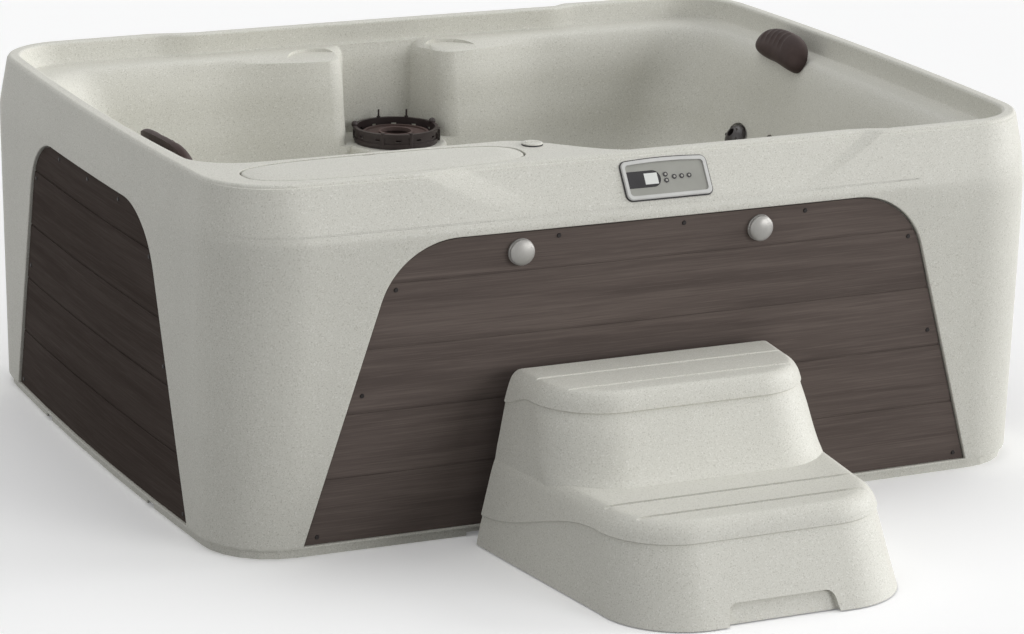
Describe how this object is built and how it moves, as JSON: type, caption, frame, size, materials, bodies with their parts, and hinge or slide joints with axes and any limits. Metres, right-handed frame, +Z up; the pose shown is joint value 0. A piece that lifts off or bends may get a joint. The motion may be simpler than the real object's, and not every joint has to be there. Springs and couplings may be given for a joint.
{
  "type": "hot tub",
  "caption": "Rounded rectangular moulded hot tub with plank panels, bar lid, recessed control panel, head pillows, jets, drop-in filter, pump and heater, and a separate moulded entry step.",
  "frame": {"origin": "on the floor, under the middle of the tub, on the underside of its base's middle pad", "axes": "+Z up; -Y towards the front, where the control panel and the step are; +X to the right as seen from the front"},
  "size_m": [1.9284, 2.2421, 0.7759],
  "materials": {
    "shell": "matte, fine speckle",
    "planks": "matte wood grain",
    "screws": "black coated",
    "foam": "cut foam",
    "bucket": "smooth",
    "bezel": "satin",
    "control_film": "satin film",
    "display": "smooth",
    "display_glass": "pale, backlit look",
    "keys": "matte",
    "black_plastic": "satin",
    "board": "coated board",
    "silver": "satin bright",
    "jet_ring": "polished",
    "latch": "brushed",
    "pillow": "moulded soft skin",
    "trim_brown": "satin",
    "pleats": "pleated cloth",
    "jet_face": "glossy",
    "lens": "clear",
    "motor": "painted",
    "rotor": "machined",
    "heater": "polished tube",
    "pipe": "smooth",
    "box": "painted",
    "box_cover": "painted",
    "pads": "matte"
  },
  "bodies": {
    "tub": {"tub_shell": "shell", "base_pan": "shell", "front_panel": "planks", "back_panel": "planks", "left_panel": "planks", "right_panel": "planks", "panel_screws": "screws", "insulation_boards": "foam", "well_support": "foam", "ice_bucket": "bucket", "control_bezel": "bezel", "control_face": "control_film", "display_tab": "display", "display_window": "display_glass", "control_housing": "black_plastic", "circuit_board": "board", "knob_bases": "silver", "pillow_right": "pillow", "pillow_left": "pillow", "pillow_pegs": "black_plastic", "filter_canister": "trim_brown", "jet_bodies": "jet_ring", "nozzle_bodies": "jet_ring", "air_valve_body": "black_plastic", "suction_cover": "trim_brown", "light_housing": "black_plastic", "light_lens": "lens", "pump_motor": "motor", "pump_volute": "black_plastic", "pump_foot": "black_plastic", "heater_tube": "heater", "suction_pipe": "pipe", "return_pipe": "pipe", "equipment_box": "box", "equipment_box_cover": "box_cover", "drain_outlet": "black_plastic", "cord_inlet": "black_plastic"},
    "lid": {"bar_lid": "shell"},
    "knob_left": {"knob_left": "silver", "latch_left": "latch"},
    "knob_right": {"knob_right": "silver", "latch_right": "latch"},
    "button_up": {"button_up": "keys"},
    "button_down": {"button_down": "keys"},
    "button_jets": {"button_jets": "keys"},
    "button_light": {"button_light": "keys"},
    "button_heat": {"button_heat": "keys"},
    "jet_right": {"jet_face_right": "jet_face"},
    "jet_left": {"jet_face_left": "jet_face"},
    "nozzle_right": {"nozzle_face_right": "jet_face"},
    "nozzle_left": {"nozzle_face_left": "jet_face"},
    "air_valve": {"air_valve_knob": "shell"},
    "filter_guard": {"filter_guard": "trim_brown"},
    "filter_cartridge": {"filter_cartridge": "pleats"},
    "pump_rotor": {"pump_rotor": "rotor"},
    "drain_collar": {"drain_collar": "silver"},
    "step": {"step_body": "shell", "step_pads": "pads"}
  },
  "joints": [
    {"name": "lid_lift", "type": "slide", "parent": "tub", "child": "lid", "axis": [0, 0, 1], "range_m": [0, 0.15]},
    {"name": "knob_left_turn", "type": "hinge", "parent": "tub", "child": "knob_left", "pos_m": [-0.3185, -0.78946, 0.6], "axis": [-0.0143, -0.9985, -0.0522], "range_deg": [0, 90]},
    {"name": "knob_right_turn", "type": "hinge", "parent": "tub", "child": "knob_right", "pos_m": [0.2245, -0.79036, 0.6], "axis": [0.0067, -0.9986, -0.0522], "range_deg": [0, 90]},
    {"name": "button_up_press", "type": "slide", "parent": "tub", "child": "button_up", "axis": [0, 0.8364, -0.5482], "range_m": [0, 0.001], "stiffness_N_per_m": 600},
    {"name": "button_down_press", "type": "slide", "parent": "tub", "child": "button_down", "axis": [0, 0.8364, -0.5482], "range_m": [0, 0.001], "stiffness_N_per_m": 600},
    {"name": "button_jets_press", "type": "slide", "parent": "tub", "child": "button_jets", "axis": [0, 0.8364, -0.5482], "range_m": [0, 0.001], "stiffness_N_per_m": 600},
    {"name": "button_light_press", "type": "slide", "parent": "tub", "child": "button_light", "axis": [0, 0.8364, -0.5482], "range_m": [0, 0.001], "stiffness_N_per_m": 600},
    {"name": "button_heat_press", "type": "slide", "parent": "tub", "child": "button_heat", "axis": [0, 0.8364, -0.5482], "range_m": [0, 0.001], "stiffness_N_per_m": 600},
    {"name": "jet_right_turn", "type": "hinge", "parent": "tub", "child": "jet_right", "pos_m": [0.79421, 0.35, 0.49136], "axis": [-0.9116, 0, 0.4111], "range_deg": [0, 180]},
    {"name": "jet_left_turn", "type": "hinge", "parent": "tub", "child": "jet_left", "pos_m": [-0.79421, -0.26189, 0.49136], "axis": [0.9116, 0, 0.4111], "range_deg": [0, 180]},
    {"name": "nozzle_right_turn", "type": "hinge", "parent": "tub", "child": "nozzle_right", "pos_m": [0.80801, 0.218, 0.50684], "axis": [-0.957, 0, 0.2901], "range_deg": [0, 180]},
    {"name": "nozzle_left_turn", "type": "hinge", "parent": "tub", "child": "nozzle_left", "pos_m": [-0.80801, -0.16312, 0.50684], "axis": [0.957, 0, 0.2901], "range_deg": [0, 180]},
    {"name": "air_valve_turn", "type": "hinge", "parent": "tub", "child": "air_valve", "pos_m": [-0.206, -0.598, 0.768], "axis": [0, 0, 1], "range_deg": [0, 180]},
    {"name": "filter_guard_turn", "type": "hinge", "parent": "tub", "child": "filter_guard", "pos_m": [0, 0.574, 0.505], "axis": [0, 0, 1], "range_deg": [0, 30]},
    {"name": "filter_lift", "type": "slide", "parent": "tub", "child": "filter_cartridge", "axis": [0, 0, 1], "range_m": [0, 0.26]},
    {"name": "pump_spin", "type": "hinge", "parent": "tub", "child": "pump_rotor", "pos_m": [0.02, -0.54, 0.2], "axis": [1, 0, 0], "continuous": true},
    {"name": "drain_turn", "type": "hinge", "parent": "tub", "child": "drain_collar", "pos_m": [0.56, 0.75968, 0.092], "axis": [0.0142, 0.9985, -0.0522], "range_deg": [0, 90]},
    {"name": "step_pull", "type": "slide", "parent": "tub", "child": "step", "axis": [0, -1, 0], "range_m": [0, 0.3]}
  ]
}
